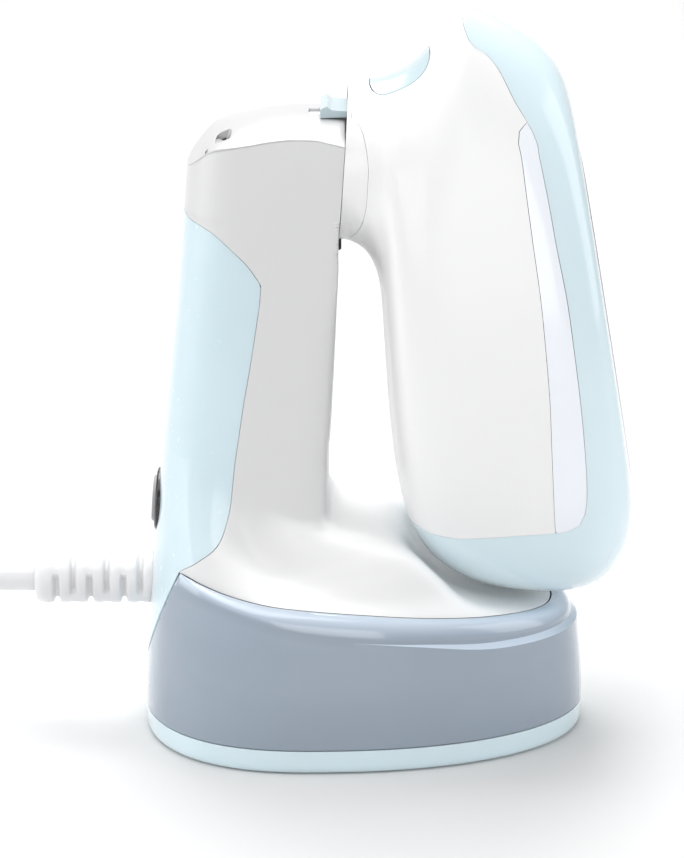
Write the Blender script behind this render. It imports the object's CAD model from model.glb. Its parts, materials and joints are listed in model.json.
"""Looks for a foldable handheld garment steamer: fine surfaces, materials, light and camera.

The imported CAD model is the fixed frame.  Shapes are worked out in millimetres in its frame and
turned into metres when a mesh is made.  The steamer stands on z = 0.  +X is the front, where the
head hangs with its steam plate; the handle, power button and cord are at the back.  Both sides
mirror across y = 0, and the camera looks at the -Y side.
"""
import json
import math

import bmesh
import bpy
import numpy as np
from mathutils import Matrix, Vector


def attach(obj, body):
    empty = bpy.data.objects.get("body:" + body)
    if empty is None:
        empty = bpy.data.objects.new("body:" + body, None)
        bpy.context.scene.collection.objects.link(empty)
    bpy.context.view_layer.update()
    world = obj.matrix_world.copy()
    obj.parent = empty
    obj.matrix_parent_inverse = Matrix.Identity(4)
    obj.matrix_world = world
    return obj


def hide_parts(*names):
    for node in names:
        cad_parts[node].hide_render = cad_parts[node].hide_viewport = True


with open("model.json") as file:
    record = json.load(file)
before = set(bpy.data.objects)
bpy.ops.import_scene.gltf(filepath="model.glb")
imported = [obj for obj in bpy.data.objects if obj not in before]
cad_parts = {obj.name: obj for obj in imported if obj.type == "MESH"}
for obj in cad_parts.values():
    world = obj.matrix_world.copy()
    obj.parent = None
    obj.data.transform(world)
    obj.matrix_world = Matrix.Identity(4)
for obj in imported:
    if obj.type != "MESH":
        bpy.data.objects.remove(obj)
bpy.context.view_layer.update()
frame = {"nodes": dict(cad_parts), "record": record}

MM = 0.001
TURN = 2 * math.pi
FORWARD, UP = (1, 0, 0), (0, 0, 1)

# ================================================================ driving dimensions (mm)
WALL = 2.0               # moulding wall
GAP = 0.35               # part line gap
# base footprint: egg, blunt at the back (centre x, reach back, reach front, half width)
FOOT_X, FOOT_REAR, FOOT_FRONT, FOOT_HALF = -15.0, 47.0, 77.4, 44.0
ROUND_REAR, ROUND_FRONT = 2.35, 2.15     # superellipse powers of footprint and rim
TANK_BOTTOM_Z = 7.4
BASE_TOP_Z = 7.0
# rim where the white deck meets the tank
RIM_X, RIM_REAR, RIM_FRONT, RIM_HALF = -13.0, 46.2, 66.0, 36.0
# handle column
ARCH_Z = 151.6           # apex of the rear cover
FLARE_Z = 84.0           # where the column starts to flare into the deck
COLUMN_DROP = ARCH_Z - FLARE_Z
REAR_FOOT_Z = 19.5       # lower tip of the rear cover
REAR_ARC = 38.0          # half angle of the rear cover at the rim, degrees
REAR_POWER = 0.62        # how the rear cover narrows toward its tip
# hinge between handle and head
HINGE = np.array([-5.45, 0.0, 164.0])
HINGE_TILT = math.radians(3.6)
HINGE_AXIS = np.array([math.cos(HINGE_TILT), 0.0, -math.sin(HINGE_TILT)])
HINGE_UP = np.array([math.sin(HINGE_TILT), 0.0, math.cos(HINGE_TILT)])
NECK_R = 21.9
NECK_CENTRE = HINGE + 0.3 * HINGE_AXIS
HUB_R = 7.0
# power button on the back of the handle
BUTTON_R = 9.0
BUTTON = np.array([-57.95, 0.0, 65.6])
BUTTON_AXIS = np.array([-0.9976, 0.0, 0.0698])
BUTTON_UP = np.array([0.0698, 0, 0.9976])
# cord and its sleeve
CORD_Z, CORD_R = 42.0, 4.0
CORD_END_X, CORD_INNER_X = -118.0, -38.0
SLEEVE_END_X = -93.0
SLEEVE_R = 7.5


# ================================================================ curve tools
def smooth(t):
    t = np.clip(t, 0.0, 1.0)
    return t * t * (3 - 2 * t)


def catmull(knots, t):
    """Catmull-Rom curve through knots, t counted in knots."""
    knots = np.asarray(knots, float)
    if knots.ndim == 1:
        return catmull(knots[:, None], t)[..., 0]
    count = len(knots)
    padded = np.vstack([2 * knots[0] - knots[1], knots, 2 * knots[-1] - knots[-2]])
    t = np.clip(np.asarray(t, float), 0, count - 1)
    i = np.minimum(np.floor(t).astype(int), count - 2)
    f = (t - i)[..., None]
    a, b, c, d = padded[i], padded[i + 1], padded[i + 2], padded[i + 3]
    return 0.5 * (2 * b + (c - a) * f + (2 * a - 5 * b + 4 * c - d) * f ** 2
                  + (3 * b - a - 3 * c + d) * f ** 3)


def pchip(x, pairs):
    """Smooth interpolation through (x, value) pairs that doesn't overshoot."""
    pairs = sorted(pairs)
    xs = np.array([p[0] for p in pairs], float)
    ys = np.array([p[1] for p in pairs], float)
    step = np.diff(xs)
    slope = np.diff(ys) / step
    m = np.zeros_like(ys)
    m[0], m[-1] = slope[0], slope[-1]
    for k in range(1, len(xs) - 1):
        if slope[k - 1] * slope[k] > 0:
            w1, w2 = 2 * step[k] + step[k - 1], step[k] + 2 * step[k - 1]
            m[k] = (w1 + w2) / (w1 / slope[k - 1] + w2 / slope[k])
    x = np.clip(np.asarray(x, float), xs[0], xs[-1])
    i = np.clip(np.searchsorted(xs, x, side="right") - 1, 0, len(xs) - 2)
    t = (x - xs[i]) / step[i]
    return (ys[i] * (1 + 2 * t) * (1 - t) ** 2 + m[i] * step[i] * t * (1 - t) ** 2
            + ys[i + 1] * t * t * (3 - 2 * t) + m[i + 1] * step[i] * t * t * (t - 1))


def superellipse(phi, power):
    c, s = np.cos(phi), np.sin(phi)
    r = (np.abs(c) ** power + np.abs(s) ** power) ** (-1.0 / power)
    return r * c, r * s


def circle(count):
    return np.linspace(0, TURN, count, endpoint=False)


def normals(surface, a, b, e=2e-3):
    n = np.cross(surface(a + e, b) - surface(a - e, b), surface(a, b + e) - surface(a, b - e))
    return n / np.maximum(np.linalg.norm(n, axis=-1, keepdims=True), 1e-12)


def outward(points, normal, centre):
    """The normals, turned so that on the whole they point away from centre."""
    return normal if np.sum(normal * (points - np.asarray(centre))) > 0 else -normal


def ring_normal(ring):
    """Outward normals of a closed ring, in the XY plane."""
    along = np.roll(ring, -1, 0) - np.roll(ring, 1, 0)
    n = np.stack([along[:, 1], -along[:, 0], 0 * along[:, 0]], -1)
    n /= np.linalg.norm(n, axis=1, keepdims=True)
    return -n if np.sum(n * (ring - ring.mean(0))) < 0 else n


def at_height(ring, z):
    return np.column_stack([ring[:, :2], np.broadcast_to(z, len(ring))])


# ================================================================ handle and base surfaces
# phi: 0 = front (+X), 90 deg = -Y side, 180 deg = back
# column tables: (height z, value)
COLUMN_BACK_X = [(10, -62.2), (20, -61.6), (33, -60.5), (47, -59.4), (56, -58.7), (83, -56.3),
                 (100, -54.6), (124, -52.0), (146, -49.9), (152, -49.3), (163, -48.4),
                 (176, -47.2)]
COLUMN_FRONT_X = [(60, -9.9), (84, -9.7), (90, -9.2), (107, -8.3), (128, -7.4), (139, -7.0),
                  (142, -7.15), (160, -6.0), (176, -5.0)]
COLUMN_HALF = [(60, 22.0), (100, 22.0), (150, 21.6), (164, 21.4), (176, 21.0)]
# superellipse power of the front half; high values give its crisp edges
COLUMN_POWER_FRONT = [(60, 8.0), (84, 9.0), (118, 14.0), (140, 50.0), (146, 160.0), (176, 200.0)]
COLUMN_POWER_BACK = 2.5
# side view of the cap, (x, z): shoulder line along its sides and crest along the middle
SHOULDER = [(-49, 162.4), (-47, 164.8), (-44.5, 167.4), (-41, 170.3), (-36.3, 171.7),
            (-30.6, 172.9), (-25, 173.9), (-19.4, 174.4), (-13.8, 174.3), (-10, 173.5),
            (-5, 172.2)]
CREST = [(-49, 162.4), (-46, 166.2), (-42, 170.6), (-37, 173.3), (-31, 175.3), (-25, 176.6),
         (-19, 177.2), (-12, 177.25), (-5, 176.9)]
# rim height, (x, z)
RIM_HEIGHT = [(-60, 52.4), (-50.6, 52.0), (-45, 50.6), (-38.8, 49), (-32, 47.6), (-26, 46.6),
              (-13, 45.3), (0, 44.1), (15, 42.4), (30, 40.7), (42, 39.3), (48, 38.3), (53, 37.2)]
# base wall: (height z, reach from FOOT_X or half width)
BASE_REAR = [(0, FOOT_REAR), (BASE_TOP_Z, FOOT_REAR), (35, 45.6), (52, 44.4)]
BASE_FRONT = [(0, FOOT_FRONT), (BASE_TOP_Z, FOOT_FRONT), (35, 75.4), (52, 73.4)]
BASE_HALF = [(0, FOOT_HALF), (BASE_TOP_Z, FOOT_HALF), (35, 41.4), (52, 38.6)]
# flare profiles in ten equal steps from the column (0) to the rim (1);
# rows: toward the front, side, back and front diagonals
FLARE_OUT = np.array([[0, 0, .004, .040, .120, .200, .275, .345, .440, .620, 1],
                      [0, .004, .021, .064, .136, .229, .357, .514, .671, .843, 1],
                      [0, .1, .2, .3, .4, .5, .6, .7, .8, .9, 1],
                      [0, 0, .006, .060, .170, .310, .450, .580, .710, .850, 1]])
FLARE_DOWN = np.array([[0, .250, .380, .440, .470, .500, .540, .610, .760, .920, 1],
                       [0, .129, .271, .426, .581, .711, .809, .873, .920, .966, 1],
                       [0, .1, .2, .3, .4, .5, .6, .7, .8, .9, 1],
                       [0, .220, .380, .455, .500, .535, .575, .630, .730, .880, 1]])
# part line between deck and rear cover: (root of the drop below ARCH_Z, phi in degrees)
SPLIT_COLUMN = [(0, 180), (.97, 154), (1.2, 144.5), (1.6, 130), (2.04, 121.5), (2.5, 114),
                (2.9, 107.5), (3.25, 101), (3.6, 95.5), (3.95, 90.5), (4.2, 87.2), (4.6, 87.2),
                (5.4, 88.6), (6.4, 91), (7.3, 93.8), (8.22, 96)]
# the same line down the flare: (flare step, phi in degrees)
SPLIT_FLARE = [(0, 96), (1.2, 98.2), (2, 100.2), (2.75, 103.2), (3.65, 108.2), (4.8, 114),
               (6.5, 122.2), (8, 130), (9, 135.5), (10, 180 - REAR_ARC)]


def column(phi, z):
    back, front = pchip(z, COLUMN_BACK_X), pchip(z, COLUMN_FRONT_X)
    power = np.where(np.cos(phi) > 0, pchip(z, COLUMN_POWER_FRONT), COLUMN_POWER_BACK)
    u, v = superellipse(phi, power)
    x = (back + front) / 2 + (front - back) / 2 * u
    return np.stack([x, -pchip(z, COLUMN_HALF) * v, z + 0 * phi], -1)


def upper_edge(phi):
    """Height of the side walls' upper edge, just under the crisp shoulder line of the cap."""
    return pchip(column(phi, 168.0)[..., 0], SHOULDER) - 0.35


def egg(phi):
    return superellipse(phi, np.where(np.cos(phi) > 0, ROUND_FRONT, ROUND_REAR))


def rim(phi):
    u, v = egg(phi)
    x = RIM_X + np.where(u > 0, RIM_FRONT, RIM_REAR) * u
    return np.stack([x, -RIM_HALF * v, pchip(x, RIM_HEIGHT)], -1)


def base_wall(phi, z):
    """Outer wall of the base at height z."""
    u, v = egg(phi)
    reach = np.where(u > 0, pchip(z, BASE_FRONT), pchip(z, BASE_REAR))
    return np.stack([FOOT_X + reach * u, -pchip(z, BASE_HALF) * v, z + 0 * phi], -1)


def handle(phi, row):
    """Column and deck: row -1..0 collar, 0..1 column, 1..2 flare, 2..3 rear foot."""
    phi, row = np.broadcast_arrays(np.asarray(phi, float), np.asarray(row, float))
    collar_z = ARCH_Z + (upper_edge(phi) - ARCH_Z) * -np.clip(row, -1, 0)
    column_z = ARCH_Z + (FLARE_Z - ARCH_Z) * np.clip(row, 0, 1)
    upper = column(phi, np.where(row < 0, collar_z, column_z))

    step = np.clip(row - 1, 0, 1) * 10
    c = np.cos(phi)
    ahead, behind = smooth(c * 1.6), smooth(-c * 1.25)
    straight = ahead * smooth((c - 0.62) / 0.36)
    weights = (straight, 1 - ahead - behind, behind, ahead - straight)
    out = sum(w * catmull(k, step) for w, k in zip(weights, FLARE_OUT))
    down = sum(w * catmull(k, step) for w, k in zip(weights, FLARE_DOWN))
    start, end = column(phi, np.full_like(phi, FLARE_Z)), rim(phi)
    flare = start + (end - start) * np.stack([out, out, down], -1)

    q = np.clip(row - 2, 0, 1)
    rim_z = end[..., 2]
    z = rim_z + (REAR_FOOT_Z - rim_z) * q
    foot = base_wall(phi, z) + (end - base_wall(phi, rim_z)) * ((1 - q) ** 2)[..., None]
    return np.where((row <= 1)[..., None], upper, np.where((row <= 2)[..., None], flare, foot))


def split_angle(row):
    """Angle (deg) of the part line between the deck moulding and the rear cover."""
    on_column = pchip(np.sqrt(COLUMN_DROP * np.clip(row, 0, 1)), SPLIT_COLUMN)
    on_flare = pchip(np.clip(row - 1, 0, 1) * 10, SPLIT_FLARE)
    on_foot = 180 - REAR_ARC * (1 - np.clip(row - 2, 0, 1)) ** REAR_POWER
    return np.where(row <= 1, on_column, np.where(row <= 2, on_flare, on_foot))


# ================================================================ head surface
NECK_TOP = NECK_CENTRE + 0.0 * HINGE_UP + NECK_R * HINGE_UP
NECK_LOW = NECK_CENTRE - NECK_R * HINGE_UP
# stations from neck to steam plate:
# top x, top z, bottom x, bottom z, half width, superellipse power, narrowing toward the top
HEAD = np.array([
    [NECK_TOP[0], NECK_TOP[2], NECK_LOW[0], NECK_LOW[2], NECK_R, 2.0, 0.0],
    [-1.0, 185.7, -3.6, 141.4, 22.0, 2.0, 0.0],
    [2.2, 185.8, 0.2, 138.9, 22.5, 2.03, 0.0],
    [5.0, 186.3, 3.0, 134.0, 23.6, 2.06, 0.01],
    [7.5, 187.2, 4.6, 126.5, 25.2, 2.10, 0.02],
    [10.0, 188.4, 5.7, 111.0, 27.2, 2.16, 0.05],
    [12.5, 190.0, 7.1, 92.0, 29.0, 2.22, 0.09],
    [15.0, 192.2, 9.4, 74.0, 30.4, 2.28, 0.13],
    [17.5, 195.0, 13.0, 61.0, 31.4, 2.32, 0.16],
    [20.2, 199.4, 18.0, 52.4, 32.2, 2.34, 0.19],
    [23.0, 204.0, 25.0, 46.4, 32.8, 2.34, 0.22],
    [25.8, 206.9, 33.5, 42.6, 33.0, 2.34, 0.23],
    [31.0, 205.0, 43.0, 40.6, 33.0, 2.34, 0.22],
    [38.0, 201.5, 52.5, 40.0, 32.8, 2.35, 0.20],
    [45.0, 197.2, 61.0, 41.0, 32.3, 2.36, 0.19],
    [50.5, 192.0, 67.6, 44.4, 31.4, 2.38, 0.18],
    [54.0, 186.4, 72.2, 50.2, 30.0, 2.40, 0.17],
    [56.0, 180.2, 74.7, 57.4, 28.2, 2.42, 0.16],
    [57.2, 174.5, 75.3, 63.6, 26.2, 2.44, 0.16],
    [57.9, 169.5, 75.0, 69.6, 23.8, 2.46, 0.15],
])
LAST = len(HEAD) - 1.0
HEAD_MIDDLE = np.array([35.0, 0, 120.0])


def head(phi, station):
    """phi 0 = top, 90 deg = -Y side, 180 deg = bottom; station 0 = neck, LAST = front edge."""
    phi, station = np.broadcast_arrays(np.asarray(phi, float), np.asarray(station, float))
    top_x, top_z, low_x, low_z, half, power, taper = np.moveaxis(catmull(HEAD, station), -1, 0)
    p, q = superellipse(phi, power)
    x = (top_x + low_x) / 2 + (top_x - low_x) / 2 * p
    z = (top_z + low_z) / 2 + (top_z - low_z) / 2 * p
    return np.stack([x, -(half * (1 - taper * p)) * q, z], -1)


def find_on_head(xs, zs):
    """(phi, station) of the -Y side points whose side view positions are (x, z)."""
    found = []
    for x, z in zip(xs, zs):
        f0, f1, v0, v1 = 0.0, math.pi, 0.0, LAST
        for _ in range(7):
            phi, station = np.meshgrid(np.linspace(f0, f1, 41), np.linspace(v0, v1, 41),
                                       indexing="ij")
            points = head(phi, station)
            distance = (points[..., 0] - x) ** 2 + (points[..., 2] - z) ** 2
            i, j = np.unravel_index(np.argmin(distance), distance.shape)
            best_phi, best_station = phi[i, j], station[i, j]
            df, dv = (f1 - f0) / 10, (v1 - v0) / 10
            f0, f1 = max(0.0, best_phi - df), min(math.pi, best_phi + df)
            v0, v1 = max(0.0, best_station - dv), min(LAST, best_station + dv)
        found.append((best_phi, best_station))
    return np.array(found)


# ================================================================ material tools
def new_material(name):
    material = bpy.data.materials.new(name)
    material.use_nodes = True
    tree = material.node_tree
    coords = tree.nodes.new("ShaderNodeTexCoord").outputs["Object"]
    return material, tree, tree.nodes["Principled BSDF"], coords


def add_node(tree, kind, values=None, links=None):
    node = tree.nodes.new(kind)
    for socket, value in (values or {}).items():
        node.inputs[socket].default_value = value
    for socket, source in (links or {}).items():
        tree.links.new(source, node.inputs[socket])
    return node


def noise(tree, coords, scale, detail=3.0, rough=0.5):
    values = {"Scale": scale, "Detail": detail, "Roughness": rough}
    return add_node(tree, "ShaderNodeTexNoise", values, {"Vector": coords}).outputs["Fac"]


def remap(tree, source, low, high, start=0.3, stop=0.7):
    """Map start..stop of the source to low..high."""
    values = {"From Min": start, "From Max": stop, "To Min": low, "To Max": high}
    return add_node(tree, "ShaderNodeMapRange", values, {"Value": source}).outputs["Result"]


def mix(tree, factor, first, second):
    node = tree.nodes.new("ShaderNodeMix")
    node.data_type = "RGBA"
    tree.links.new(factor, node.inputs["Factor"])
    for socket, colour in ((node.inputs[6], first), (node.inputs[7], second)):
        if isinstance(colour, tuple):
            socket.default_value = (*colour, 1)
        else:
            tree.links.new(colour, socket)
    return node.outputs[2]


def add_bump(tree, bsdf, height, strength, distance):
    node = add_node(tree, "ShaderNodeBump", {"Strength": strength, "Distance": distance},
                    {"Height": height})
    tree.links.new(node.outputs["Normal"], bsdf.inputs["Normal"])


def plastic(name, rgb, rough, tone, coat=0.0, coat_rough=0.08, sss=0.0, grain=0.0,
            grain_scale=2600.0, edge=None, top=None, vary=0.035):
    """Moulded plastic: faint cloudy tone, fine spark-eroded grain, uneven gloss.

    tone: depth of the clouds; grain: bump strength; vary: spread of the roughness;
    edge: colour where seen edge-on; top: colour where the surface faces up.
    """
    material, tree, bsdf, coords = new_material(name)
    dark = tuple(c * (1 - 2.2 * tone) for c in rgb)
    light = tuple(min(1.0, c * (1 + tone)) for c in rgb)
    cloud = noise(tree, coords, scale=38.0, detail=4.0)
    colour = mix(tree, remap(tree, cloud, low=0.0, high=1.0), dark, light)
    if edge is not None:
        facing = add_node(tree, "ShaderNodeLayerWeight", {"Blend": 0.35}).outputs["Facing"]
        share = remap(tree, facing, low=0.0, high=0.75, start=0.45, stop=1.0)
        colour = mix(tree, share, colour, edge)
    if top is not None:
        normal = tree.nodes.new("ShaderNodeNewGeometry").outputs["Normal"]
        parts = add_node(tree, "ShaderNodeSeparateXYZ", links={"Vector": normal})
        share = remap(tree, parts.outputs["Z"], low=0.0, high=1.0, start=0.1, stop=0.75)
        colour = mix(tree, share, colour, top)
    tree.links.new(colour, bsdf.inputs["Base Color"])
    gloss = remap(tree, noise(tree, coords, scale=420.0),
                  low=max(0.02, rough - vary), high=rough + vary)
    tree.links.new(gloss, bsdf.inputs["Roughness"])
    bsdf.inputs["IOR"].default_value = 1.46
    bsdf.inputs["Coat Weight"].default_value = coat
    bsdf.inputs["Coat Roughness"].default_value = coat_rough
    if sss:
        bsdf.inputs["Subsurface Weight"].default_value = sss
        bsdf.inputs["Subsurface Radius"].default_value = (1.0, 1.0, 1.0)
        bsdf.inputs["Subsurface Scale"].default_value = 0.004
    if grain:
        fine = noise(tree, coords, scale=grain_scale, detail=2.0, rough=0.6)
        add_bump(tree, bsdf, fine, strength=grain, distance=0.0001)
    return material


def metal(name, rgb, rough, bump=0.06, grain_scale=(900, 900, 900)):
    """Metal with cloudy tone; a grain_scale stretched along one axis looks brushed."""
    material, tree, bsdf, coords = new_material(name)
    mapping = add_node(tree, "ShaderNodeMapping", {"Scale": grain_scale}, {"Vector": coords})
    lines = noise(tree, mapping.outputs["Vector"], scale=1.0, detail=4.0, rough=0.6)
    cloud = noise(tree, coords, scale=60.0)
    colour = mix(tree, remap(tree, cloud, low=0.0, high=1.0),
                 tuple(c * 0.93 for c in rgb), tuple(min(1, c * 1.04) for c in rgb))
    tree.links.new(colour, bsdf.inputs["Base Color"])
    bsdf.inputs["Metallic"].default_value = 1.0
    gloss = remap(tree, lines, low=rough * 0.75, high=rough * 1.3)
    tree.links.new(gloss, bsdf.inputs["Roughness"])
    add_bump(tree, bsdf, lines, strength=bump, distance=0.00005)
    return material


def circuit_board(name):
    """Green board with a fine brick pattern standing in for tracks."""
    material, tree, bsdf, coords = new_material(name)
    bricks = add_node(tree, "ShaderNodeTexBrick",
                      {"Scale": 260.0, "Color1": (0.02, 0.17, 0.08, 1),
                       "Color2": (0.03, 0.24, 0.11, 1), "Mortar": (0.10, 0.36, 0.17, 1),
                       "Mortar Size": 0.03}, {"Vector": coords})
    share = remap(tree, noise(tree, coords, scale=120.0), low=0.0, high=0.5)
    colour = mix(tree, share, bricks.outputs["Color"], (0.02, 0.14, 0.07))
    tree.links.new(colour, bsdf.inputs["Base Color"])
    gloss = remap(tree, noise(tree, coords, scale=300.0), low=0.3, high=0.5)
    tree.links.new(gloss, bsdf.inputs["Roughness"])
    return material


def stage_paper():
    material, tree, bsdf, coords = new_material("stage_white")
    tone = remap(tree, noise(tree, coords, scale=3.0), low=0.0, high=1.0)
    colour = mix(tree, tone, (0.70, 0.70, 0.70), (0.705, 0.705, 0.705))
    tree.links.new(colour, bsdf.inputs["Base Color"])
    bsdf.inputs["Roughness"].default_value = 0.6
    bsdf.inputs["Specular IOR Level"].default_value = 0.2
    # glow seen by the camera only; the multiplier 0 turns it off
    camera_ray = tree.nodes.new("ShaderNodeLightPath").outputs["Is Camera Ray"]
    glow = tree.nodes.new("ShaderNodeMath")
    glow.operation = "MULTIPLY"
    glow.inputs[1].default_value = 0.0
    tree.links.new(camera_ray, glow.inputs[0])
    bsdf.inputs["Emission Color"].default_value = (1, 1, 1, 1)
    tree.links.new(glow.outputs["Value"], bsdf.inputs["Emission Strength"])
    return material


# ================================================================ materials
SATIN = dict(coat=0.25, coat_rough=0.16, vary=0.004)      # finish shared by the white mouldings
WHITE = plastic("satin_white", (0.66, 0.66, 0.665), rough=0.32, tone=0.004,
                top=(0.97, 0.97, 0.97), **SATIN)
CAP_WHITE = plastic("satin_white_cap", (0.535, 0.535, 0.535), rough=0.32, tone=0.004, **SATIN)
HEAD_WHITE = plastic("satin_white_head", (0.84, 0.84, 0.842), rough=0.30, tone=0.002, **SATIN)
TRIGGER_BLUE = plastic("trigger_blue", (0.495, 0.605, 0.645), rough=0.24, coat=0.6, sss=0.1,
                       tone=0.008, edge=(0.62, 0.70, 0.73))
INNER_WHITE = plastic("inner_white", (0.74, 0.74, 0.73), rough=0.5, tone=0.02, grain=0.08)
BLUE = plastic("milky_blue", (0.60, 0.74, 0.80), rough=0.24, coat=0.5, sss=0.2, tone=0.010,
               edge=(0.78, 0.88, 0.93), top=(0.78, 0.90, 0.96))
BEZEL_BLUE = plastic("bezel_blue", (0.67, 0.81, 0.87), rough=0.20, coat=0.7, sss=0.2,
                     tone=0.008, edge=(0.86, 0.96, 1.0))
SMOKY = plastic("smoky_blue", (0.275, 0.330, 0.400), rough=0.16, coat=0.8, sss=0.08, tone=0.010,
                edge=(0.44, 0.52, 0.61), top=(0.60, 0.69, 0.80))
PEARL = plastic("pearl_trim", (0.85, 0.885, 0.945), rough=0.18, coat=1.0, sss=0.05, tone=0.010,
                edge=(0.92, 0.94, 1.0))
BLACK = plastic("black_plastic", (0.018, 0.018, 0.02), rough=0.25, coat=0.4, tone=0.15,
                grain=0.06)
GREY = plastic("grey_plastic", (0.36, 0.37, 0.38), rough=0.35, coat=0.2, tone=0.04, grain=0.06)
VINYL = plastic("cord_vinyl", (0.74, 0.74, 0.75), rough=0.36, coat=0.2, sss=0.5, tone=0.02,
                grain=0.10, grain_scale=1400.0, edge=(0.86, 0.86, 0.87))
SILICONE = plastic("silicone_hose", (0.72, 0.71, 0.68), rough=0.35, sss=0.4, tone=0.03,
                   grain=0.10, grain_scale=1500.0)
RUBBER = plastic("black_rubber", (0.03, 0.03, 0.03), rough=0.62, tone=0.2, grain=0.35,
                 grain_scale=1800.0)
SPRING = metal("spring_steel", (0.62, 0.62, 0.63), rough=0.26)
CAST = metal("cast_aluminium", (0.70, 0.70, 0.71), rough=0.42, bump=0.06 + 0.3)
PLATE = metal("brushed_plate", (0.74, 0.74, 0.75), rough=0.30, bump=0.12,
              grain_scale=(2600, 2600, 40))
BRASS = metal("brass", (0.72, 0.55, 0.25), rough=0.3)
BOARD = circuit_board("circuit_board")

BY_SLOT = {"white_plastic": WHITE, "inner_white_plastic": INNER_WHITE,
           "light_blue_plastic": BLUE, "smoky_tank_plastic": SMOKY, "pearl_trim": PEARL,
           "black_plastic": BLACK, "grey_plastic": GREY, "cord_plastic": VINYL,
           "silicone_hose": SILICONE, "black_rubber": RUBBER, "spring_steel": SPRING,
           "cast_aluminium": CAST, "brass": BRASS, "board_green": BOARD}


def dress_cad():
    """Give every CAD node the material of its slot."""
    slot_of = {part["node"]: part["material_slot"] for part in frame["record"]["subparts"]}
    for node, ob in frame["nodes"].items():
        ob.data.materials.clear()
        ob.data.materials.append(BY_SLOT[slot_of[node]])


# ================================================================ mesh tools
# a shape is (points in mm, faces)
PIECES = []              # (object, CAD body, slot, CAD nodes, bevel, segments, bevel limit)
TOOLS = []               # boolean operands, removed once applied


def mesh_object(name, shape):
    """Clean the shape and make it an object, in metres."""
    verts, faces = shape
    bm = bmesh.new()
    made = [bm.verts.new(Vector(p)) for p in verts]
    for face in faces:
        corners = [made[i] for i in dict.fromkeys(face)]
        if len(corners) > 2:
            try:
                bm.faces.new(corners)
            except ValueError:             # where walls meet, the same face can come up twice
                pass
    bmesh.ops.remove_doubles(bm, verts=bm.verts, dist=0.002)
    bmesh.ops.dissolve_degenerate(bm, edges=bm.edges, dist=0.0005)
    bmesh.ops.recalc_face_normals(bm, faces=bm.faces)
    if bm.calc_volume(signed=True) < 0:
        bmesh.ops.reverse_faces(bm, faces=bm.faces)
    for vert in bm.verts:
        vert.co *= MM
    mesh = bpy.data.meshes.new(name)
    bm.to_mesh(mesh)
    bm.free()
    ob = bpy.data.objects.new(name, mesh)
    bpy.context.scene.collection.objects.link(ob)
    return ob


def put(name, shape, material, body, slot, nodes=(), bevel=0.0, segments=2, sharp=32.0,
        limit=40.0):
    """Add a piece that rides on a CAD body and replaces the given CAD nodes."""
    ob = mesh_object(name, shape)
    ob.data.materials.append(material)
    ob.data.shade_smooth()
    ob.data.set_sharp_from_angle(angle=math.radians(sharp))
    PIECES.append((ob, body, slot, nodes, bevel, segments, limit))
    return ob


def tool(name, shape):
    ob = mesh_object(name, shape)
    TOOLS.append(ob)
    return ob


def combine(ob, operand, operation="DIFFERENCE"):
    modifier = ob.modifiers.new(operand.name, "BOOLEAN")
    modifier.operation, modifier.object, modifier.solver = operation, operand, "MANIFOLD"


def grid_faces(rows, cols, wrap, offset=0):
    r, c = np.meshgrid(np.arange(rows - 1), np.arange(cols if wrap else cols - 1),
                       indexing="ij")
    d = (c + 1) % cols
    quads = np.stack([r * cols + c, r * cols + d, (r + 1) * cols + d, (r + 1) * cols + c], -1)
    return (quads.reshape(-1, 4) + offset).tolist()


def wall(outer, inner, wrap=False, open_row=0):
    """Closed wall between two grids; above open_row the side edges get no faces."""
    rows, cols = outer.shape[:2]
    n = rows * cols
    faces = grid_faces(rows, cols, wrap) + grid_faces(rows, cols, wrap, n)
    for row in (0, rows - 1):
        for c in range(cols if wrap else cols - 1):
            a, b = row * cols + c, row * cols + (c + 1) % cols
            faces.append([a, b, b + n, a + n])
    if not wrap:
        for col in (0, cols - 1):
            for r in range(open_row, rows - 1):
                a, b = r * cols + col, (r + 1) * cols + col
                faces.append([a, b, b + n, a + n])
    return np.vstack([outer.reshape(-1, 3), inner.reshape(-1, 3)]), faces


def loft(rings, first="flat", last="flat"):
    """Solid through rings of equal count.

    Ends: "flat" one face, "fan" triangles, "none"; first="join" joins the last ring to the first.
    """
    n = len(rings[0])
    points = [np.asarray(r, float) for r in rings]
    rows = len(points)
    faces = grid_faces(rows, n, True)
    if first == "join":
        for c in range(n):
            d = (c + 1) % n
            faces.append([(rows - 1) * n + c, (rows - 1) * n + d, d, c])
        return np.vstack(points), faces
    centre = rows * n
    for row, cap in ((0, first), (rows - 1, last)):
        if cap == "fan":
            points.append(points[row].mean(0)[None])
            for c in range(n):
                faces.append([row * n + c, row * n + (c + 1) % n, centre])
            centre += 1
        elif cap == "flat":
            faces.append([row * n + c for c in range(n)])
    return np.vstack(points), faces


def frame_of(axis):
    """Unit axis and two unit vectors square to it."""
    axis = np.asarray(axis, float) / np.linalg.norm(axis)
    helper = np.array([0, 1.0, 0]) if abs(axis[1]) < 0.9 else np.array([1.0, 0, 0])
    side = helper - axis * helper.dot(axis)
    side /= np.linalg.norm(side)
    return axis, side, np.cross(axis, side)


def turned(profile, place, axis, count, closed=False):
    """Turn a profile of (radius, height along the axis) points about the axis."""
    axis, side, other = frame_of(axis)
    th = circle(count) + 0.037
    spokes = (np.cos(th)[:, None] * side, np.sin(th)[:, None] * other)
    rings = [np.asarray(place) + h * axis + max(r, 1e-6) * (spokes[0] + spokes[1])
             for r, h in profile]
    if closed:
        return loft(rings, "join")
    return loft(rings, *("flat" if r > 1e-3 else "none" for r in (profile[0][0], profile[-1][0])))


def rod(radius, low, high, place, axis, count):
    return turned([(radius, low), (radius, high)], place, axis, count)


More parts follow.
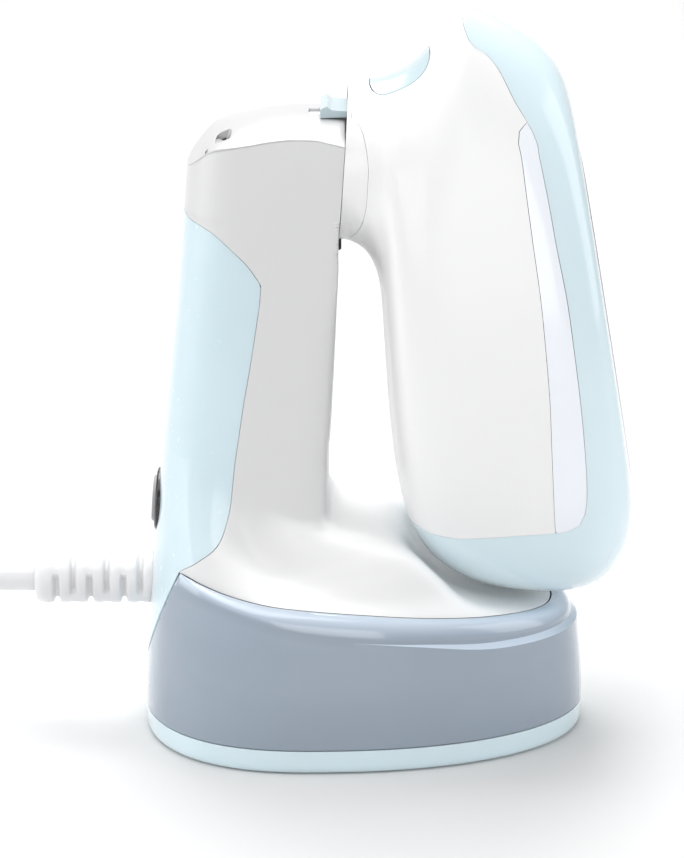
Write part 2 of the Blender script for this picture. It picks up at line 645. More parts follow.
def tube(path, radius, count):
    path = np.asarray(path, float)
    tangents = np.gradient(path, axis=0)
    tangents /= np.linalg.norm(tangents, axis=1, keepdims=True)
    _, side, _ = frame_of(tangents[0])
    rings = []
    th = circle(count)
    for point, t in zip(path, tangents):
        side = side - t * side.dot(t)
        side /= np.linalg.norm(side)
        other = np.cross(t, side)
        rings.append(point + radius * (np.cos(th)[:, None] * side + np.sin(th)[:, None] * other))
    return loft(rings, "fan", "fan")


def box(x0, x1, y0, y1, z0, z1):
    return loft([[[x0, y0, z], [x1, y0, z], [x1, y1, z], [x0, y1, z]] for z in (z0, z1)])


def across(profile, ys):
    """Side view profile of (x, z) points carried along Y."""
    return loft([[[x, y, z] for x, z in profile] for y in ys])


# ================================================================ handle
def column_rows(first):
    """Column rows from a root-of-drop value down, evenly spaced in that root."""
    return np.linspace(first, 8.22, 44) ** 2 / COLUMN_DROP


def handle_wall(phi_deg, rows):
    """Outer and inner grids of a handle moulding."""
    phi = np.radians(phi_deg)
    row = np.repeat(rows[:, None], phi.shape[1], 1)
    outer = handle(phi, row)
    normal = normals(handle, phi, row)
    some = slice(10, 40)                   # column rows decide which way is out
    away = (outer[some] - np.array([-30.0, 0, 0])) * np.array([1, 1, 0])
    if np.sum(normal[some] * away) < 0:
        normal = -normal
    return outer, outer - WALL * normal


def build_deck(hub_tool):
    """White deck and handle moulding, closed at the back only above the rear cover."""
    collar_rows = np.linspace(-1, 0, 9)
    rows = np.concatenate([collar_rows, column_rows(0.35), np.linspace(1.02, 2.0, 50)])
    reach = split_angle(rows) - np.where(rows > 0, 0.14, 0.0)
    outer, inner = handle_wall(reach[:, None] * np.linspace(-1, 1, 217)[None, :], rows)
    inner[0, :, 2] = outer[0, :, 2]
    closed = len(collar_rows)
    for grid in (outer, inner):
        grid[:closed, -1] = grid[:closed, 0]
    shell = put("shell_handle_deck", wall(outer, inner, False, closed - 1), WHITE, "handle",
                "white_plastic", ("body_shell",), bevel=0.04)
    combine(shell, hub_tool)
    combine(shell, tool("cut_stop", box(-12.0, -2.0, -2.95, 2.95, 138.2, 141.6)))


def build_rear_cover():
    """Light blue cover down the back of the handle, with holes for button and sleeve."""
    rows = np.concatenate([column_rows(0.8), np.linspace(1.03, 2.0, 30),
                           np.linspace(2.06, 2.98, 22)])
    lowered = np.where(rows < 1, rows - 0.12 / COLUMN_DROP, rows)
    half = np.maximum(180 - split_angle(lowered) - 0.14, 0.3)
    outer, inner = handle_wall(180 + half[:, None] * np.linspace(-1, 1, 61)[None, :], rows)
    cover = put("shell_rear_cover", wall(outer, inner), BLUE, "handle", "light_blue_plastic",
                ("rear_cover",), bevel=0.05)
    combine(cover, tool("cut_button", rod(BUTTON_R + 0.3, -8, 8, BUTTON, BUTTON_AXIS, 64)))
    combine(cover, tool("cut_cord", rod(SLEEVE_R + 0.25, -30, 30, (-60, 0, CORD_Z), FORWARD, 48)))


CAP_CENTRE = np.array([-26.0, 0.0])
# rings of the cap as shares of its plan: outer skin from the edge in, inner skin from the middle
CAP_OUTER = (1.0, 0.9995, 0.998, 0.995, 0.99, 0.982, 0.97, 0.955, 0.935, 0.905, 0.87,
             0.82, 0.75, 0.67, 0.57, 0.46, 0.34, 0.22, 0.1)
CAP_INNER = (0.12, 0.3, 0.5, 0.66, 0.80, 0.88, 0.93, 0.97, 0.99, 1.0)
# notch section, (across, up), before it is tilted; then its stations (y, width factor)
NOTCH = [(-1.75, -1.5), (1.6, -1.6), (1.75, 6.0), (-0.2, 6.0), (-1.3, 3.0), (-1.75, 0.8)]
NOTCH_STATIONS = ((-13.2, 0.9), (-12.0, 1.0), (-8.0, 1.0), (-5.6, 0.9), (-4.4, 0.6))
NOTCH_TILT = math.radians(-20)
NOTCH_PLACE = np.array([-38.2, 0, 171.9])
TICK = ((-42.9, 170.3), (-42.2, 170.5), (-42.2, 165.0), (-42.9, 165.0))


def cap_ring(share, drop=0.0, inset=0.0):
    """Ring of the domed cap at a share of its plan."""
    phi = circle(144)
    edge = upper_edge(phi)
    spoke = column(phi, edge + 0.05)[..., :2] - CAP_CENTRE
    length = np.linalg.norm(spoke, axis=-1, keepdims=True)
    xy = CAP_CENTRE + spoke * ((length - inset) / length) * share
    edge = edge + 0.07
    shoulder, crest = pchip(xy[..., 0], SHOULDER), pchip(xy[..., 0], CREST)
    dome = 1 - np.clip(np.abs(xy[..., 1]) / 20.5, 0, 1) ** 2.2
    top = shoulder + (crest - shoulder) * dome - drop
    power = 8.0 + 14.0 * smooth((np.cos(phi) + 0.82) / 0.4)
    rise = (1 - share ** power) ** (1 / power)
    return np.concatenate([xy, (edge + (top - edge) * rise)[..., None]], -1)


def notch_shape():
    c, s = math.cos(NOTCH_TILT), math.sin(NOTCH_TILT)
    return loft([np.array([[a * k * c - b * s, y, a * k * s + b * c] for a, b in NOTCH])
                 + NOTCH_PLACE for y, k in NOTCH_STATIONS])


def build_cap(hub_tool):
    """Domed cap with a crisp shoulder, a slot for the fold lock, a notch and a fine slit."""
    rings = ([cap_ring(share) for share in CAP_OUTER[::-1]]
             + [cap_ring(share, WALL, WALL) for share in CAP_INNER])
    cap = put("shell_top_cap", loft(rings, "fan", "fan"), CAP_WHITE, "handle", "white_plastic",
              ("handle_top_cap",), bevel=0.10)
    combine(cap, hub_tool)
    for name, shape in (
            ("cut_shutter_pocket", box(-23.8, -7.0, -5.4, 5.4, 168, 176.42)),
            ("cut_lock_slot", box(-15.2, -7.2, -3.4, 3.4, 168, 186)),
            ("cut_notch", notch_shape()),
            ("cut_tick", across(TICK, (-16.0, -13.2)))):
        combine(cap, tool(name, shape))


# fold lock slider, side view (x, z)
LOCK = [(-12.0, 177.4), (-12.0, 179.0), (-11.7, 179.6), (-10.6, 180.2), (-10.1, 180.2),
        (-9.4, 179.7), (-8.9, 179.35), (-6.0, 179.1), (-2.9, 178.9), (-2.5, 178.6),
        (-2.5, 177.4)]
LOCK_HALF = 7.6
SHUTTER = ((-19.4, 175.9), (-10.65, 175.9), (-10.65, 176.35), (-19.4, 176.35))


def build_lock():
    """Fold lock slider with its stem, and the thin shutter strip under it."""
    def sink(x, y, z):
        """The lower back corner follows the dome of the cap."""
        return 0.33 * (abs(y) / LOCK_HALF) ** 2.2 if z < 178 and x < -5 else 0.0

    rings = [[[x, y, z - sink(x, y, z)] for x, z in LOCK]
             for y in (-LOCK_HALF, -6.0, -4.0, -2.0, 0.0, 2.0, 4.0, 6.0, LOCK_HALF)]
    lock = put("slider_fold_lock", loft(rings), TRIGGER_BLUE, "lock", "light_blue_plastic",
               ("fold_lock_slider",), bevel=0.35, segments=3, sharp=25)
    combine(lock, tool("join_lock_stem", box(-10.6, -7.6, -3.0, 3.0, 171.6, 178.4)), "UNION")
    put("strip_lock_shutter", across(SHUTTER, (-5.0, 5.0)), WHITE, "lock", "white_plastic")


# turned profiles along the button axis, (radius, height)
BUTTON_RING = [(6.9, -2.2), (BUTTON_R, -2.2), (BUTTON_R, -0.5), (8.9, 0.1), (8.6, 0.4),
               (8.2, 0.6), (7.7, 0.68), (7.3, 0.62), (7.0, 0.45), (6.9, 0.2)]
BUTTON_CAP = [(0, -6.2), (2.6, -6.2), (2.6, -1.8), (6.5, -1.8), (6.5, 1.0), (6.35, 1.3),
              (6.0, 1.5), (5.0, 1.55), (3.4, 1.4), (1.6, 1.25), (0, 1.2)]
MARK_R = 2.4             # radius of the power sign
MARK_LINE_R = 0.22


def build_button():
    """Power button, its ring, and the power sign: an arc open at the top and a bar."""
    put("ring_button", turned(BUTTON_RING, BUTTON, BUTTON_AXIS, 72, closed=True), BLACK,
        "handle", "black_plastic", ("button_bezel_ring",))
    put("cap_power_button", turned(BUTTON_CAP, BUTTON, BUTTON_AXIS, 64), GREY, "button",
        "grey_plastic", ("power_button",))
    sideways = np.cross(BUTTON_AXIS, BUTTON_UP)
    arc = [BUTTON + 1.30 * BUTTON_AXIS + MARK_R * (math.cos(a) * BUTTON_UP + math.sin(a) * sideways)
           for a in np.linspace(math.radians(32), math.radians(360 - 32), 26)]
    put("mark_power_arc", tube(arc, MARK_LINE_R, 8), WHITE, "button", "white_plastic")
    bar = [BUTTON + 1.28 * BUTTON_AXIS + BUTTON_UP * h for h in (0.9, 1.6, 2.3, 3.0)]
    put("mark_power_bar", tube(bar, MARK_LINE_R, 8), WHITE, "button", "white_plastic")


def sleeve_radius(x, th):
    """Bulges of the strain relief, parted by slots open over part of the turn."""
    u = x - SLEEVE_END_X
    r = np.full_like(th, 7.45)
    end = np.clip(u / 3.2, 0, 1)           # rounded free end
    r = r - 2.2 * (1 - np.sqrt(1 - (1 - end) ** 2))
    for k in range(6):
        slot = 6.2 + 4.75 * k
        depth = 1.5 * math.exp(-((u - slot) / 0.85) ** 4)
        middle = 0.75 * math.pi if k % 2 else 0.25 * math.pi
        r = r - depth * smooth((np.abs(np.cos(th - middle)) - 0.30) / 0.22)
        r = r - 0.28 * math.exp(-((u - slot) / 1.7) ** 2)
    if u > 33.2:
        r = r + (0.35 if u < 34.2 else 0.25)
    return np.minimum(r, SLEEVE_R)


def build_cord():
    """Strain relief sleeve with its flange and bore, and the cord through it."""
    th = circle(72)
    bore = CORD_R + 0.3
    outside = [(x, sleeve_radius(float(x), th)) for x in
               np.concatenate([np.linspace(SLEEVE_END_X, -89.6, 12),
                               np.linspace(-89.4, -57.0, 150)])]
    inside = [(-56.2, 7.2), (-56.2, 9.6), (-53.4, 9.6), (-53.4, bore), (-70.0, bore),
              (-90.0, bore), (SLEEVE_END_X, bore)]
    rings = [np.stack([np.full(len(th), x), r * np.cos(th), CORD_Z + r * np.sin(th)], -1)
             for x, r in outside + inside]
    put("sleeve_strain_relief", loft(rings, "join"), VINYL, "handle", "cord_plastic",
        ("strain_relief",))
    path = [(x, 0, CORD_Z) for x in np.linspace(CORD_END_X, CORD_INNER_X, 41)]
    put("cable_cord", tube(path, CORD_R, 40), VINYL, "handle", "cord_plastic", ("power_cord",),
        bevel=0.4, segments=3)


# ================================================================ tank and base
TANK_PHI = circle(176)
TANK_CENTRE = np.array([-4.0, 0.0])
# line where the tank wall turns into its rounded lip, (x, z)
TANK_CREASE = [(-60, 49.0), (-50, 48.0), (-13, 39.5), (15, 35.6), (32, 32.8), (46, 32.0),
               (53, 31.6)]
FILLER_X, VALVE_X = 12, -22.0


def tank_edge_z(from_front, x):
    """Upper edge of the tank: along the rim, then dipping under the rear cover."""
    q = 1 - np.clip((180 - from_front) / REAR_ARC, 0, 1) ** (1 / REAR_POWER)
    back = 52.0 + (REAR_FOOT_Z - 52.0) * q - 0.55
    return np.where(from_front < 180 - REAR_ARC, pchip(x, RIM_HEIGHT), back)


def tank_top_z(x):
    """Sunken top plate of the tank, lower at the back."""
    return 14.5 + 16.0 * smooth((x + 54.0) / 20.0)


def shrink(ring, share):
    return TANK_CENTRE + (ring[:, :2] - TANK_CENTRE) * share


def tank_outside():
    """Rings up the wall, over the lip, down inside it and across the sunken top."""
    from_front = np.abs((np.degrees(TANK_PHI) + 180) % 360 - 180)
    rim_ring = rim(TANK_PHI)
    edge_z = tank_edge_z(from_front, rim_ring[:, 0])
    in_front = (1 - smooth((from_front - 138) / 8.0))[:, None]
    front_plan = rim_ring + (GAP + 0.1) * ring_normal(rim_ring)
    side_edge = base_wall(TANK_PHI, edge_z)
    back_plan = side_edge - 1.9 * ring_normal(side_edge)
    plan = front_plan * in_front + back_plan * (1 - in_front)
    crease = np.minimum(edge_z - 1.2, pchip(rim_ring[:, 0], TANK_CREASE))

    rings = [base_wall(TANK_PHI, np.full_like(TANK_PHI, TANK_BOTTOM_Z))]
    for k in np.linspace(0.06, 1.0, 14):
        rings.append(base_wall(TANK_PHI, TANK_BOTTOM_Z + (crease - TANK_BOTTOM_Z) * k))
    # a sloping ledge that grows toward the front sets the lip off from the wall below it
    wall_top = base_wall(TANK_PHI, crease)
    ledge = 1.7 * smooth((wall_top[:, 0] + 4.0) / 46.0)
    lip = wall_top - ledge[:, None] * ring_normal(wall_top)
    lip_z = crease + 0.8 * ledge
    for k in (0.04, 0.96, 1.0):
        rings.append(at_height(wall_top * (1 - k) + lip * k, crease * (1 - k) + lip_z * k))
    for degrees in np.linspace(8, 90, 13):
        b = math.radians(degrees)
        rings.append(at_height(lip * math.cos(b) + plan * (1 - math.cos(b)),
                               lip_z + (edge_z - lip_z) * math.sin(b)))
    rings.append(at_height(plan, edge_z - 0.8))
    rings.append(at_height(plan, np.minimum(tank_top_z(plan[:, 0]), edge_z - 1.5)))
    for share in (0.85, 0.7, 0.5, 0.35, 0.15):
        xy = shrink(plan, share)
        rings.append(at_height(xy, tank_top_z(xy[:, 0])))
    return rings


def tank_inside():
    """Rings from the middle under the top plate out, and down the inner wall."""
    inner = base_wall(TANK_PHI, np.full_like(TANK_PHI, 20.0))
    inner = inner - WALL * ring_normal(inner)
    inner = inner - 0.8 * ring_normal(at_height(inner, 20.0))
    rings = []
    for share in (0.15, 0.35, 0.7, 1.0):
        xy = shrink(inner, share)
        rings.append(at_height(xy, tank_top_z(xy[:, 0]) - WALL))
    low = base_wall(TANK_PHI, np.full_like(TANK_PHI, TANK_BOTTOM_Z))
    return rings + [low - WALL * ring_normal(low)]


def build_tank():
    """Water tank, open below, with round holes in its top plate."""
    outside, inside = tank_outside(), tank_inside()
    n = len(TANK_PHI)
    x, y = TANK_CENTRE
    top = float(tank_top_z(x))
    verts = np.vstack(outside + inside + [np.array([[x, y, top], [x, y, top - WALL]])])
    inside_start = len(outside) * n
    last_outside = inside_start - n
    centre = inside_start + len(inside) * n
    faces = grid_faces(len(outside), n, True) + grid_faces(len(inside), n, True, inside_start)
    for c in range(n):
        d = (c + 1) % n
        faces.append([last_outside + c, last_outside + d, centre])
        faces.append([inside_start + c, inside_start + d, centre + 1])
        faces.append([centre - n + c, centre - n + d, d, c])
    tank = put("shell_water_tank", (verts, faces), SMOKY, "tank", "smoky_tank_plastic",
               ("water_tank",), bevel=0.25)
    combine(tank, tool("cut_filler", rod(7.2, 20, 40, (FILLER_X, 0, 0), UP, 40)))
    combine(tank, tool("cut_valve", rod(6.2, 20, 40, (VALVE_X, 0, 0), UP, 36)))


# base ring section: (inset from the footprint, z)
BASE_SECTION = ((2.6, 0.0), (1.7, 0.1), (1.0, 0.4), (0.45, 0.9), (0.12, 1.6), (0, 2.6), (0, 5.0),
                (0, BASE_TOP_Z), (3.2, BASE_TOP_Z), (3.2, 9.0), (4.8, 9.0), (4.8, 2.8))
FEET = ((-38, -26), (-38, 26), (28, -24), (28, 24))
FOOT_PAD = [(0, 0.0), (4.6, 0.0), (4.9, 0.12), (5.0, 0.4), (5.0, 1.15), (0, 1.15)]


def build_base():
    """Base under the tank, with four recessed rubber feet."""
    outline = base_wall(TANK_PHI, np.full_like(TANK_PHI, 5.0))
    out = ring_normal(outline)
    rings = [at_height(outline - inset * out, z) for inset, z in BASE_SECTION]
    base = put("ring_tank_base", loft(rings), BEZEL_BLUE, "tank", "light_blue_plastic",
               ("tank_base",), bevel=0.2)
    for k, (x, y) in enumerate(FEET, 1):
        combine(base, tool("cut_foot_%d" % k, rod(5.4, -2, 1.5, (x, y, 0), UP, 40)))
        put("pad_foot_%d" % k, turned(FOOT_PAD, (x, y, 0), UP, 40), RUBBER, "tank",
            "black_rubber", ("rubber_foot_%d" % k,))


# ================================================================ head
# side view part lines (x, z), from the tip round to the back of the lower end
BEZEL_LINE = [(26.2, 203.2), (28.4, 198.6), (32.0, 196.3), (35.2, 193.0), (37.8, 188.5),
              (39.7, 184.8), (42.9, 179.7), (45.6, 174.7), (46.6, 169.6), (48.8, 159.3),
              (51.3, 146.2), (54.1, 132.8), (56.2, 119.1), (58.1, 105.3), (59.7, 91.0),
              (60.6, 79.2), (60.5, 73.1), (59.3, 68.7), (56.3, 66.6), (52.4, 66.0), (50.9, 65.8),
              (42.7, 65.2), (34.5, 64.4), (26.3, 63.4), (22.2, 63.4), (18.2, 63.5), (14.1, 64.5)]
TRIM_FIRST, TRIM_LAST = 6, 19            # BEZEL_LINE points where the trim starts and ends
TRIM_LINE = [(43.3, 179.2), (41.3, 177.2), (40.7, 175.0), (41.8, 169.8), (43.2, 159.5),
             (45.1, 146.4), (47.1, 133.0), (48.6, 119.4), (49.9, 105.6), (50.7, 91.3),
             (51.6, 76.5), (52.2, 67.7), (52.4, 66.0)]
# collar part line round the neck, side view (x, z)
COLLAR_LINE = [(-3.9, 179.0), (-1.6, 177.6), (0.2, 172.5), (0.95, 165.2), (0.6, 158.0),
               (-0.5, 151.2), (-2.2, 147.2), (-4.0, 144.6)]
# (phi, station) where the bezel part line crosses the middle, on top and underneath
MIDDLE_TOP = np.array([[0.0, 11.0], [0.02 * math.pi, 11.02]])
MIDDLE_LOW = np.array([[0.955 * math.pi, 7.62], [math.pi, 7.55]])
HALF_COLUMNS = 72        # mesh columns from top to bottom on one side
TOP_COLUMNS, TRIM_COLUMNS = 16, 34       # of these, above the trim and beside it
LOW_COLUMNS = HALF_COLUMNS - TOP_COLUMNS - TRIM_COLUMNS


def line_on_head(points):
    """Side view points -> (phi, station) densely along the curve."""
    curve = catmull(points, np.linspace(0, len(points) - 1, 24 * len(points)))
    return find_on_head(curve[:, 0], curve[:, 1])


def resample(line, count):
    """The line as count + 1 points evenly spaced on the surface."""
    points = head(line[:, 0], line[:, 1])
    steps = np.linalg.norm(np.diff(points, axis=0), axis=1)
    length = np.concatenate([[0], np.cumsum(steps)])
    even = np.linspace(0, length[-1], count + 1)
    return np.stack([np.interp(even, length, line[:, i]) for i in (0, 1)], -1)


def pull(line, distance, toward):
    """Move the line by a distance in mm toward another, to open a part gap."""
    gap = head(toward[:, 0], toward[:, 1]) - head(line[:, 0], line[:, 1])
    length = np.linalg.norm(gap, axis=1)
    share = np.minimum(distance / np.maximum(length, 1e-6), 0.4)
    return line + (toward - line) * share[:, None]


def both_sides(line):
    mirrored = line[1:-1][::-1].copy()
    mirrored[:, 0] = TURN - mirrored[:, 0]
    return np.vstack([line, mirrored])


def collar_stations(phi):
    found = find_on_head(*zip(*COLLAR_LINE))
    pairs = [(float(a), float(max(b, 0.22))) for a, b in found if 0.35 < a < 2.95]
    return pchip(phi, [(0.0, 0.22), (0.30, 0.26)] + pairs + [(3.0, 0.24), (math.pi + 0.01, 0.22)])


# part lines as (phi, station) on the -Y side
TOP_SEAM = resample(np.vstack([MIDDLE_TOP, line_on_head(BEZEL_LINE[:TRIM_FIRST + 1])[1:]]),
                    TOP_COLUMNS)
TRIM_BACK = resample(line_on_head(TRIM_LINE), TRIM_COLUMNS)
TRIM_FRONT = resample(line_on_head(BEZEL_LINE[TRIM_FIRST:TRIM_LAST + 1]), TRIM_COLUMNS)
LOW_SEAM = resample(np.vstack([line_on_head(BEZEL_LINE[TRIM_LAST:])[:-1], MIDDLE_LOW]),
                    LOW_COLUMNS)
BEZEL_EDGE = np.vstack([TOP_SEAM[:-1], TRIM_FRONT[:-1], LOW_SEAM])
SHELL_EDGE = np.vstack([TOP_SEAM[:-1], TRIM_BACK[:-1], LOW_SEAM])
HALF_PHI = math.pi * np.linspace(0, 1, HALF_COLUMNS + 1)
NECK_EDGE = np.stack([HALF_PHI, np.zeros(HALF_COLUMNS + 1)], -1)
FRONT_EDGE = np.stack([HALF_PHI, np.full(HALF_COLUMNS + 1, LAST)], -1)
COLLAR_EDGE = np.stack([HALF_PHI, collar_stations(HALF_PHI)], -1)


def head_wall(start, end, rows, square_neck=False):
    """Wall all round the head between two edges; square_neck trues up its first row."""
    start, end = both_sides(start), both_sides(end)
    grid = start[None] + (end - start)[None] * np.linspace(0, 1, rows)[:, None, None]
    phi, station = grid[..., 0], grid[..., 1]
    outer = head(phi, station)
    inner = outer - WALL * outward(outer, normals(head, phi, station), HEAD_MIDDLE)
    if square_neck:
        inner[0] = NECK_CENTRE + (outer[0] - NECK_CENTRE) * ((NECK_R - WALL) / NECK_R)
        outer[0] = outer[0] - 0.53 * HINGE_AXIS
        inner[0] = inner[0] - 0.55 * HINGE_AXIS
    return wall(outer, inner, True)


def build_collar():
    put("collar_neck", head_wall(NECK_EDGE, pull(COLLAR_EDGE, 0.05, NECK_EDGE), 6, True),
        HEAD_WHITE, "head", "white_plastic", bevel=0.05)


def build_head_shell():
    shape = head_wall(pull(COLLAR_EDGE, 0.05, SHELL_EDGE), pull(SHELL_EDGE, 0.06, COLLAR_EDGE),
                      67)
    return put("shell_head", shape, HEAD_WHITE, "head", "white_plastic", ("head_shell",),
               bevel=0.12)


def build_bezel():
    """Bezel round the steam plate, with a small oval drain hole low on each side."""
    bezel = put("bezel_front", head_wall(pull(BEZEL_EDGE, 0.06, FRONT_EDGE), FRONT_EDGE, 34),
                BEZEL_BLUE, "head", "light_blue_plastic", ("front_bezel",), bevel=0.12)
    phi, station = math.radians(166.6), 7.86
    th = circle(28)
    for k, mirror in enumerate((1, -1)):
        flip = np.array([1, mirror, 1])
        place = head(phi, station)
        out = outward(place, normals(head, phi, station), HEAD_MIDDLE) * flip
        centre = place * flip
        along = head(phi, station + 0.1) * flip - centre
        along = along / np.linalg.norm(along)
        crosswise = np.cross(out, along)
        oval = centre + np.outer(2.0 * np.cos(th), along) + np.outer(0.8 * np.sin(th), crosswise)
        combine(bezel, tool("cut_drain_%d" % k, loft([oval - 1.3 * out, oval + 3 * out])))


def build_trims():
    """Pearl trims between head shell and bezel, one each side."""
    n = TRIM_COLUMNS
    at = np.concatenate([[0.15, 0.5], np.arange(1, n), [n - 0.5, n - 0.15]])
    back, front = (np.stack([np.interp(at, np.arange(n + 1), line[:, i]) for i in (0, 1)], -1)
                   for line in (TRIM_BACK, TRIM_FRONT))
    start, end = pull(back, 0.05, front), pull(front, 0.05, back)
    grid = start[:, None] + (end - start)[:, None] * np.linspace(0, 1, 11)[None, :, None]
    outer = head(grid[..., 0], grid[..., 1])
    normal = normals(head, grid[..., 0], grid[..., 1])
    if np.sum(normal[..., 1]) > 0:
        normal = -normal
    inner = outer - 1.8 * normal
    for name, mirror in (("side_trim_left", 1), ("side_trim_right", -1)):
        flip = [1, mirror, 1]
        put("pearl_" + name, wall(outer * flip, inner * flip), PEARL, "head", "pearl_trim",
            (name,), bevel=0.12)


# trigger on top of the neck: its press direction and the direction along the neck
TRIGGER_IN = np.array([0.27, 0, -0.963])
TRIGGER_IN /= np.linalg.norm(TRIGGER_IN)
TRIGGER_ALONG = np.array([-TRIGGER_IN[2], 0, TRIGGER_IN[0]])
TRIGGER_CENTRE = head(0.0, 4.55) + 1.2 * TRIGGER_ALONG
TRIGGER_HALF_LENGTH, TRIGGER_HALF_WIDTH = 8.9, 10.2


def trigger_prism(grow, low, high):
    u, w = superellipse(circle(80), 4.0)
    ring = (TRIGGER_CENTRE + np.outer((TRIGGER_HALF_LENGTH + grow) * u, TRIGGER_ALONG)
            + np.outer((TRIGGER_HALF_WIDTH + grow) * w, [0, 1.0, 0]))
    return loft([ring + low * TRIGGER_IN, ring + high * TRIGGER_IN])


def build_trigger(head_shell):
    """Trigger in its opening, trimmed to the skin of the head."""
    combine(head_shell, tool("cut_trigger", trigger_prism(GAP, -16, 7.5)))
    trigger = put("button_steam_trigger", trigger_prism(0.0, -16, 3.8), TRIGGER_BLUE, "trigger",
                  "light_blue_plastic", ("steam_trigger",), bevel=0.5, segments=3, limit=30)
    th = circle(144)
    rings = [head(th, np.full(len(th), station)) for station in np.linspace(0, 10, 61)]
    combine(trigger, tool("keep_trigger_skin", loft(rings, "fan", "fan")), "INTERSECT")


PLATE_TOP = np.array([HEAD[-1][0], 0, HEAD[-1][1]])
PLATE_LOW = np.array([HEAD[-1][2], 0, HEAD[-1][3]])
PLATE_CENTRE = (PLATE_TOP + PLATE_LOW) / 2
PLATE_UP = (PLATE_TOP - PLATE_LOW) / np.linalg.norm(PLATE_TOP - PLATE_LOW)
PLATE_OUT = np.array([PLATE_UP[2], 0, -PLATE_UP[0]])
# plate section: (inset from the head's front edge, depth behind it)
PLATE_SECTION = ((2.55, 4.0), (2.55, 0.5), (2.7, 0.05), (3.1, -0.3), (3.7, -0.48), (8.0, -0.5),
                 (8.5, -0.2), (9.1, -0.2), (9.6, -0.5))
# steam holes: (height along the plate, y), and their profile (radius, height outward)
STEAM_HOLES = ([(h, y) for h in range(34, -32, -13) for y in (-9.5, 9.5)] + [(42, 0), (-40, 0)])
HOLE_PROFILE = [(1.5, -6), (1.5, -0.2), (2.1, 0.55), (2.1, 3)]


def plate_ring(inset, depth):
    edge = head(circle(144), np.full(144, LAST))
    flat = np.stack([edge[:, 1], (edge - PLATE_CENTRE) @ PLATE_UP], -1)
    along = np.roll(flat, -1, 0) - np.roll(flat, 1, 0)
    out = (np.stack([along[:, 1], -along[:, 0]], -1)
           / np.linalg.norm(along, axis=1, keepdims=True))
    if np.sum(out * flat) < 0:
        out = -out
    flat = flat - inset * out
    return (PLATE_CENTRE + np.outer(flat[:, 1], PLATE_UP) + np.outer(flat[:, 0], [0, 1.0, 0])
            - depth * PLATE_OUT)


def build_plate():
    """Steam plate with a shallow groove and fourteen countersunk holes."""
    plate = put("plate_steam", loft([plate_ring(*station) for station in PLATE_SECTION]), PLATE,
                "head", "cast_aluminium", ("steam_plate",), sharp=50)
    verts, faces, offset = [], [], 0
    for h, y in STEAM_HOLES:
        place = PLATE_CENTRE + h * PLATE_UP + np.array([0, y, 0])
        points, hole_faces = turned(HOLE_PROFILE, place, PLATE_OUT, 24)
        verts.append(points)
        faces += [[i + offset for i in face] for face in hole_faces]
        offset += len(points)
    combine(plate, tool("cut_steam_holes", (np.vstack(verts), faces)))


# ================================================================ finishing
def apply_booleans():
    """Make the booleans permanent, so that pieces can move apart from their tools."""
    depsgraph = bpy.context.evaluated_depsgraph_get()
    depsgraph.update()
    made = [(piece[0], bpy.data.meshes.new_from_object(piece[0].evaluated_get(depsgraph),
                                                       depsgraph=depsgraph))
            for piece in PIECES if piece[0].modifiers]
    for ob, mesh in made:
        ob.modifiers.clear()
        ob.data = mesh
    for ob in TOOLS:
        bpy.data.objects.remove(ob, do_unlink=True)


def finish_pieces():
    """Bevel the pieces and tie them to the CAD frame."""
    for ob, body, slot, nodes, bevel, segments, limit in PIECES:
        if bevel:
            modifier = ob.modifiers.new("Edges", "BEVEL")
            modifier.width, modifier.segments = bevel * MM, segments
            modifier.limit_method, modifier.angle_limit = "ANGLE", math.radians(limit)
            modifier.use_clamp_overlap = True
            modifier.harden_normals = False
            modifier.miter_outer = "MITER_ARC"
        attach(ob, body)
        if nodes:
            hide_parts(*nodes)


# ================================================================ floor, light, camera (metres)
def build_sweep():
    """Paper sweep: flat floor, quarter-round bend, upright back."""
    bend_start, bend_r = 0.9, 0.9
    profile = [(-3.0, 0.0), (bend_start, 0.0)]
    profile += [(bend_start + bend_r * math.sin(a), bend_r - bend_r * math.cos(a))
                for a in np.linspace(0.06, math.pi / 2, 24)]
    profile += [(bend_start + bend_r, 3.5)]
    bm = bmesh.new()
    rows = [[bm.verts.new((x, y, z)) for x in (-4.0, 4.0)] for y, z in profile]
    for a, b in zip(rows, rows[1:]):
        bm.faces.new([a[0], a[1], b[1], b[0]])
    mesh = bpy.data.meshes.new("studio_sweep")
    bm.to_mesh(mesh)
    bm.free()
    mesh.shade_smooth()
    mesh.materials.append(stage_paper())
    sweep = bpy.data.objects.new("studio_sweep", mesh)
    bpy.context.scene.collection.objects.link(sweep)


def build_world():
    world = bpy.data.worlds.new("studio")
    bpy.context.scene.world = world
    world.use_nodes = True
    background = world.node_tree.nodes["Background"]
    background.inputs["Color"].default_value = (1.0, 1.0, 1.0, 1)
    background.inputs["Strength"].default_value = 0.36


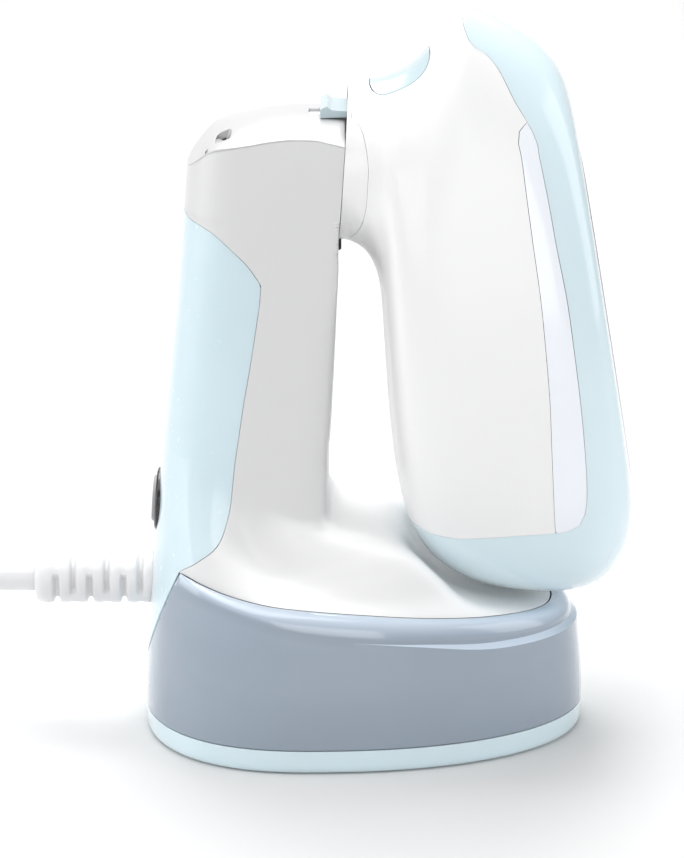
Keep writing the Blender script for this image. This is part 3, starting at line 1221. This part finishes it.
# area lights: name, place, target, width, height, power in watts
LIGHTS = (
    ("key_back", (-0.02, 0.36, 1.10), (0, 0, 0.03), 0.6, 0.6, 9.0),
    ("key_front", (-0.30, -0.30, 1.20), (0, 0, 0.05), 0.9, 0.9, 6.0),
    ("back_top", (0.0, 1.00, 1.00), (0, 0.62, 0.0), 1.2, 0.8, 7.0),
    ("side_left", (-1.1, -0.10, 0.42), (0, 0, 0.10), 0.8, 0.9, 5.0),
    ("side_right", (1.1, -0.30, 0.50), (0.02, 0, 0.10), 0.8, 0.9, 4.0),
    ("fill_front", (0.1, -1.6, 0.38), (0, 0, 0.10), 0.9, 0.9, 5.6),
)


def build_lights():
    for name, place, target, width, height, power in LIGHTS:
        light = bpy.data.lights.new(name, "AREA")
        light.shape = "RECTANGLE"
        light.size, light.size_y, light.energy = width, height, power
        ob = bpy.data.objects.new(name, light)
        ob.location = place
        aim = Vector(target) - Vector(place)
        ob.rotation_euler = aim.to_track_quat("-Z", "Y").to_euler()
        bpy.context.scene.collection.objects.link(ob)


CAMERA_TARGET = Vector((-0.0061, 0.0, 0.0861))
CAMERA_ELEVATION = math.radians(18.5)
CAMERA_DISTANCE = 1.0


def build_camera():
    camera = bpy.data.cameras.new("camera")
    camera.lens, camera.sensor_width, camera.sensor_fit = 149.85, 36.0, "AUTO"
    camera.clip_start, camera.clip_end = 0.05, 20.0
    ob = bpy.data.objects.new("camera", camera)
    back = Vector((0.0, -math.cos(CAMERA_ELEVATION), math.sin(CAMERA_ELEVATION)))
    ob.location = CAMERA_TARGET + back * CAMERA_DISTANCE
    ob.rotation_euler = back.to_track_quat("Z", "Y").to_euler()
    bpy.context.scene.collection.objects.link(ob)
    bpy.context.scene.camera = ob
    bpy.context.scene.view_settings.view_transform = "Standard"


# ================================================================ build
dress_cad()
hub = tool("cut_hub", rod(HUB_R + 0.4, -12, 14, HINGE, HINGE_AXIS, 40))
build_deck(hub)
build_rear_cover()
build_cap(hub)
build_lock()
build_button()
build_cord()
build_tank()
build_base()
build_collar()
shell_head = build_head_shell()
build_bezel()
build_trims()
build_trigger(shell_head)
build_plate()
apply_booleans()
finish_pieces()
build_sweep()
build_world()
build_lights()
build_camera()
